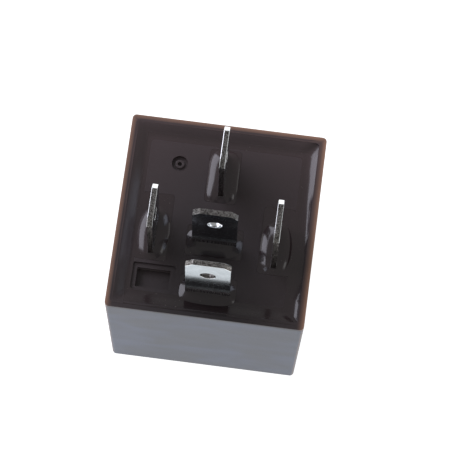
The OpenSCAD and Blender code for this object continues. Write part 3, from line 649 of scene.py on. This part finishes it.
# %% Inner pieces that keep their form
refined("yoke", "iron", bevel=0.15)
refined("core", "iron", bevel=0.12)
refined("bobbin", "nylon", bevel=0.15)
refined("armature", "iron", bevel=0.1, body="armature_set")
refined("coil_solder_joints", "solder", bevel=0.25)
refined("spring_rivets", "rivet", bevel=0.15)
refined("armature_rivets", "rivet", bevel=0.15, body="armature_set")
for node in ("no_contact", "nc_contact"):
    refined(node, "silver", bevel=0.08)
refined("moving_contact", "silver", bevel=0.08, body="armature_set")
for node in ("coil_lead_85", "coil_lead_86"):
    refined(node, "copper", bevel=0.02)

# %% [markdown]
# ** Leaf spring.** One strip of bronze is riveted to the yoke, rolls round its corner and carries
# the armature. Its softened copy keeps its place in the mesh and rides on no body.

# %% Leaf spring
spring = new_piece("contact_spring_piece", softened(joined_copy("contact_spring"), 0.03), "bronze",
                   None)
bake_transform(spring)
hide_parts("contact_spring")

# %% [markdown]
# ## Sealant
#
# The epoxy was poured into the channel between the plate and the housing, and into a well round
# each blade. A liquid creeps up every wall that it wets, so its surface is a level middle with a
# rising curve at each side, and the rise differs from place to place. Both pours are swept rings:
# a closed section is worked out at each step round a loop, and the sections are skinned.

# %% Swept ring
HIDDEN_CORNER = math.radians(35)


def skinned_ring(sections):
    """Mesh over closed sections that follow one another round a closed loop."""
    sections = np.array(sections)
    count, size = sections.shape[:2]
    faces = []
    for i in range(count):
        near, far = i * size, (i + 1) % count * size
        for j in range(size):
            k = (j + 1) % size
            faces.append((near + j, near + k, far + k, far + j))
    mesh = bpy.data.meshes.new("ring")
    mesh.from_pydata(sections.reshape(-1, 3).tolist(), [], faces)
    outward(mesh)
    return mesh


def outward(mesh):
    """Turns every face outwards and shades it smooth, apart from its hidden corners."""
    shape = bmesh.new()
    shape.from_mesh(mesh)
    bmesh.ops.recalc_face_normals(shape, faces=shape.faces)
    shape.to_mesh(mesh)
    shape.free()
    mesh.shade_smooth()
    mesh.set_sharp_from_angle(angle=HIDDEN_CORNER)


def rounded_loop(half_x, half_y, radius, side_steps, corner_steps):
    """Points round a rectangle with round corners, and the same count for any size."""
    centres = [(1, 1), (-1, 1), (-1, -1), (1, -1)]
    points = []
    for turn, (sx, sy) in enumerate(centres):
        corner = Vector((sx * (half_x - radius), sy * (half_y - radius)))
        for i in range(corner_steps + 1):
            angle = math.pi / 2 * (turn + i / corner_steps)
            points.append(corner + radius * Vector((math.cos(angle), math.sin(angle))))
        next_x, next_y = centres[(turn + 1) % 4]
        following = Vector((next_x * (half_x - radius), next_y * (half_y - radius)))
        leave = math.pi / 2 * (turn + 1)
        start = points[-1]
        end = following + radius * Vector((math.cos(leave), math.sin(leave)))
        points += [start.lerp(end, i / side_steps) for i in range(1, side_steps)]
    return points


# %% [markdown]
# **Bead in the channel.** Along the left, back and front walls the epoxy crept right over the
# rim's inner edge, so plate and rim flow into each other. On the right it stayed low, apart from
# two places where it was nudged up the wall and falls off in a hollow curve. Each row of the
# table gives the place along the right wall, and the height and reach of the curve there, all in
# millimetres.

# %% Bead
LIP_OVERLAP = 0.12 * MM                      # how far the bead lies over the platform's edge
WALL_OVERLAP = 0.45 * MM                     # how far it lies over the housing's wall
LIP_REACH = 0.6 * MM                         # over this width it comes down from the platform
BEAD_LEVEL = PLATFORM - 0.11 * MM            # its level middle
FULL_RISE = (RIM - BEAD_LEVEL) / MM + 0.025  # its rise to just over the rim, in millimetres
SIDE_STEPS, CORNER_STEPS = 110, 8
RIGHT_WALL = (
    (-14.2, 1.00, 1.00), (-12.6, 1.00, 0.72), (-10.2, 0.98, 0.70), (-9.6, 0.70, 0.50),
    (-8.8, 0.90, 0.50), (-7.5, 0.30, 0.30), (-3.5, 0.30, 0.30), (-1.8, 0.60, 0.38),
    (2.3, 0.90, 0.52), (4.6, 0.98, 0.70), (7.0, 1.00, 0.85), (10.0, 1.02, 1.05),
    (14.5, 1.03, 1.10),
)
RIGHT_START, RIGHT_FULL = 12.2, 13.2         # where the right wall's curve begins and takes over


def rises(points):
    """Height and reach of the right wall's curve at each point, and its share there."""
    table = np.array(RIGHT_WALL)
    rows = []
    for point in points:
        x, y = point.x / MM, point.y / MM
        share = min(max((x - RIGHT_START) / (RIGHT_FULL - RIGHT_START), 0), 1)
        rows.append([np.interp(y, table[:, 0], table[:, column]) for column in (1, 2)] + [share])
    rows = np.array(rows)
    return sum(np.roll(rows, step, axis=0) for step in range(-3, 4)) / 7


def platform_half():
    """Half the platform's width and depth, from the mesh of the base plate."""
    points = [v.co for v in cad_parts["base_plate"].data.vertices]
    top = np.array([p for p in points if p.z > PLATFORM - 0.01 * MM])
    return float(top[:, 0].max()), float(top[:, 1].max())


def bead_mesh(across=30):
    """Ring of epoxy between the platform's edge and the housing's wall."""
    inner_x, inner_y = platform_half()
    inner = rounded_loop(inner_x - LIP_OVERLAP, inner_y - LIP_OVERLAP, 0.6 * MM,
                         SIDE_STEPS, CORNER_STEPS)
    outer = rounded_loop(BEAD_HIGH.x + WALL_OVERLAP, BEAD_HIGH.y + WALL_OVERLAP, 0.7 * MM,
                         SIDE_STEPS, CORNER_STEPS)
    sections = []
    for near, far, (rise, reach, share) in zip(inner, outer, rises(outer)):
        section = []
        for i in range(across + 1):
            t = i / across
            from_lip, from_wall = (far - near).length * t, (far - near).length * (1 - t)
            wobble = 0.03 * noise.noise(Vector((near.x, near.y, t * MM)) * 400)
            hollow = rise * math.exp(-from_wall / MM / reach)
            full = (FULL_RISE + wobble) * t * t * (3 - 2 * t)
            z = (full + (hollow - full) * share) * MM
            z += (PLATFORM + 0.005 * MM - BEAD_LEVEL) * math.exp(-(from_lip / LIP_REACH) ** 2)
            section.append((*near.lerp(far, t), BEAD_LEVEL + z))
        sections.append(section + [(*far, BEAD_LOW.z), (*near, BEAD_LOW.z)])
    return skinned_ring(sections)


bead = new_piece("sealant_ring", bead_mesh(), "sealant", "relay")
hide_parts("sealant_bead")
print("sealant ring:", len(bead.data.polygons), "faces")

# %% [markdown]
# **Mounds round the blades.** Each well got a drop too much, so the epoxy stands up as a rounded
# heap that leans on the blade. Seen from above its outline is a superellipse, which surface
# tension makes rounder where the well is longer than the heap, as round the coil blades. The
# height falls from the blade to that outline, with a short climb on the metal, and the mesh runs
# out from the blade in rays.

# %% Mounds
# All in millimetres, apart from the powers.
MOUND_SIDE = 1.85   # from the blade's flat face to the outline
MOUND_END = 0.85    # from the blade's narrow edge to the outline
MOUND_HEIGHT = 0.7
MOUND_FALL = 3.3    # power of the fall: the higher it is, the flatter the top
BLADE_CLIMB = 0.07
CLIMB_REACH = 0.3
WELL_DEPTH = 0.15
SQUARENESS = {"terminal_30": 3.2, "terminal_87": 2.8, "terminal_87a": 2.8,
              "terminal_85": 2.2, "terminal_86": 2.2}


def mound_mesh(node, seed, across=24, around=200):
    """Heap round a blade: a is measured along the blade's width, b along its thickness."""
    low, high = blade_boxes[node]
    middle = (low + high) / 2
    wide_x = high.x - low.x > high.y - low.y
    half_w = max(high.x - low.x, high.y - low.y) / 2 / MM
    half_t = min(high.x - low.x, high.y - low.y) / 2 / MM
    far_a, far_b = half_w + MOUND_END, half_t + MOUND_SIDE
    power = SQUARENESS[node]
    sections = []
    for i in range(around):
        angle = 2 * math.pi * i / around
        c, s = math.cos(angle), math.sin(angle)
        a = math.copysign(abs(c) ** (2 / power), c)
        b = math.copysign(abs(s) ** (2 / power), s)
        swell = 1 + 0.03 * noise.noise(Vector((1.1 * c, 1.1 * s, seed)))
        out_a, out_b = far_a * swell * a, far_b * swell * b
        square = max(abs(a), abs(b)) / 0.985
        in_a, in_b = half_w * a / square, half_t * b / square
        section = []
        for j in range(across + 1):
            t = j / across
            at_a, at_b = in_a + (out_a - in_a) * t, in_b + (out_b - in_b) * t
            away = (abs(at_a / far_a) ** power + abs(at_b / far_b) ** power) ** (1 / power) / swell
            off_blade = math.hypot(max(abs(at_a) - half_w, 0), max(abs(at_b) - half_t, 0))
            z = MOUND_HEIGHT * (1 - min(away, 1) ** MOUND_FALL)
            z += BLADE_CLIMB * math.exp(-off_blade / CLIMB_REACH) * (1 - t)
            section.append((at_a, at_b, z))
        section += [(out_a, out_b, -WELL_DEPTH), (in_a, in_b, -WELL_DEPTH)]
        turned = [(a, b, z) if wide_x else (-b, a, z) for a, b, z in section]
        centre = (middle.x, middle.y, PLATFORM)
        sections.append([[c + v * MM for c, v in zip(centre, point)] for point in turned])
    return skinned_ring(sections)


# %% [markdown]
# The level part of a well is a shallow slab with a sunk edge, where the epoxy shrank a little
# away from the plate. Its outline is taken from the solid that it stands for.

# %% Well fills
WELL_R = 0.5 * MM
SHRINK_DEPTH = 0.006 * MM
SHRINK_WIDTH = 0.12 * MM


def outside(box, point):
    """Distance of a point from a box, seen from above."""
    away_x = max(box[0].x - point.x, point.x - box[1].x, 0)
    away_y = max(box[0].y - point.y, point.y - box[1].y, 0)
    return math.hypot(away_x, away_y)


def well_box(node):
    """Lowest and highest corner of the well round a blade."""
    points = []
    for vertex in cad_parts["sealant_mounds"].data.vertices:
        if vertex.co.z < PLATFORM - 0.1 * MM:
            nearest = min(BLADES, key=lambda name: outside(blade_boxes[name], vertex.co))
            if nearest == node:
                points.append(vertex.co)
    points = np.array(points)
    return Vector(points.min(0)), Vector(points.max(0))


def fill_mesh(node):
    """Slab that fills a well up to the platform's level."""
    low, high = well_box(node)
    middle, half = (low + high) / 2, (high - low) / 2
    steps = ((0, low.z - PLATFORM), (0, -SHRINK_DEPTH), (SHRINK_WIDTH / 2, -0.3 * SHRINK_DEPTH),
             (SHRINK_WIDTH, -0.1 * SHRINK_DEPTH))
    loops = []
    for inset, z in steps:
        loop = rounded_loop(half.x - inset, half.y - inset, WELL_R, 8, 6)
        loops.append([(middle.x + p.x, middle.y + p.y, PLATFORM + z) for p in loop])
    size = len(loops[0])
    last = (len(loops) - 1) * size
    faces = []
    for start in range(0, last, size):
        for j in range(size):
            k = (j + 1) % size
            faces.append((start + j, start + k, start + size + k, start + size + j))
    faces += [tuple(range(size)), tuple(range(last, last + size))]
    mesh = bpy.data.meshes.new("fill")
    mesh.from_pydata([p for loop in loops for p in loop], [], faces)
    outward(mesh)
    return mesh


mound_parts = [mound_mesh(node, seed) for seed, node in enumerate(BLADES)]
mound_parts += [fill_mesh(node) for node in BLADES]
joined = bmesh.new()
for part in mound_parts:
    joined.from_mesh(part)
mounds_mesh = bpy.data.meshes.new("mounds")
joined.to_mesh(mounds_mesh)
joined.free()
mounds = new_piece("sealant_heaps", mounds_mesh, "sealant", "relay")
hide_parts("sealant_mounds")
print("sealant heaps:", len(mounds_mesh.polygons), "faces")

# %% [markdown]
# ## Winding
#
# The coil is one long wire wound in a helix, layer upon layer. Only the outer layer shows, so the
# wire there is real: geometry nodes sweep a round section along a spiral, over a plain drum that
# stands for the layers below.

# %% Geometry node helper


def geometry_group(name, sizes):
    """Node group with a number input for each size, and its wires by name."""
    group = bpy.data.node_groups.new(name, "GeometryNodeTree")
    group.interface.new_socket("Geometry", in_out="OUTPUT", socket_type="NodeSocketGeometry")
    for label, value in sizes.items():
        kind = "NodeSocketInt" if isinstance(value, int) else "NodeSocketFloat"
        group.interface.new_socket(label, in_out="INPUT", socket_type=kind).default_value = value
    tree = Tree(group)
    source = tree.node("NodeGroupInput")
    return tree, {label: source.part(label) for label in sizes}


def grown(name, group, sizes):
    """Plain mesh that a geometry node group makes with these sizes."""
    work = bpy.data.objects.new(name, bpy.data.meshes.new(name))
    bpy.context.collection.objects.link(work)
    grow = work.modifiers.new("grow", "NODES")
    grow.node_group = group
    for item in group.interface.items_tree:
        if item.in_out == "INPUT" and item.name in sizes:
            grow[item.identifier] = sizes[item.name]
    mesh = finished_mesh(work)
    bpy.data.objects.remove(work)
    return mesh


def finish_group(tree, geometry, finish):
    """Ends a group: instances become real, and the finish is set."""
    real = tree.node("GeometryNodeRealizeInstances", {}, {"Geometry": geometry})
    painted = tree.node("GeometryNodeSetMaterial", {}, {
        "Geometry": real, "Material": FINISHES[finish]})
    tree.node("NodeGroupOutput", {}, {"Geometry": painted})


# %% Winding
coil_low, coil_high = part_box("winding")
WIRE_D = 0.28 * MM
winding_sizes = {
    "Radius": (coil_high.x - coil_low.x) / 2,
    "Height": coil_high.z - coil_low.z,
    "Wire": WIRE_D,
    "Turns": round((coil_high.z - coil_low.z) / WIRE_D),
}


def lift(tree, geometry, height):
    """The same geometry, moved up."""
    move = tree.node("ShaderNodeCombineXYZ", {}, {"Z": height})
    return tree.node("GeometryNodeTransform", {}, {"Geometry": geometry, "Translation": move})


def winding_group():
    """One layer of wire round a plain drum, standing on its centre."""
    tree, size = geometry_group("wound_wire", winding_sizes)
    path_radius = size["Radius"] - size["Wire"] * 0.5
    path = tree.node("GeometryNodeCurveSpiral", {}, {
        "Resolution": 48, "Rotations": size["Turns"], "Start Radius": path_radius,
        "End Radius": path_radius, "Height": size["Height"] - size["Wire"]})
    section = tree.node("GeometryNodeCurvePrimitiveCircle", {}, {
        "Resolution": 6, "Radius": size["Wire"] * 0.5})
    wire = tree.node("GeometryNodeCurveToMesh", {}, {
        "Curve": path, "Profile Curve": section, "Fill Caps": True})
    drum = tree.node("GeometryNodeMeshCylinder", {"fill_type": "NGON"}, {
        "Vertices": 96, "Side Segments": 1, "Radius": size["Radius"] - size["Wire"] * 0.8,
        "Depth": size["Height"]})
    lifted, raised = lift(tree, wire, size["Wire"] * 0.5), lift(tree, drum, size["Height"] * 0.5)
    both = tree.node("GeometryNodeJoinGeometry", {}, {"Geometry": lifted})
    tree.tree.links.new(raised.socket, both.socket.node.inputs["Geometry"])
    finish_group(tree, both, "copper")
    return tree.tree


winding_mesh = grown("winding_wire", winding_group(), winding_sizes)
coil_middle = (coil_low + coil_high) / 2
winding_mesh.transform(Matrix.Translation((coil_middle.x, coil_middle.y, coil_low.z)))
winding_mesh.shade_smooth()
winding_mesh.set_sharp_from_angle(angle=math.radians(60))
winding = new_piece("winding_wire", winding_mesh, None, "relay")
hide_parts("winding")
print("winding:", len(winding_mesh.polygons), "faces")
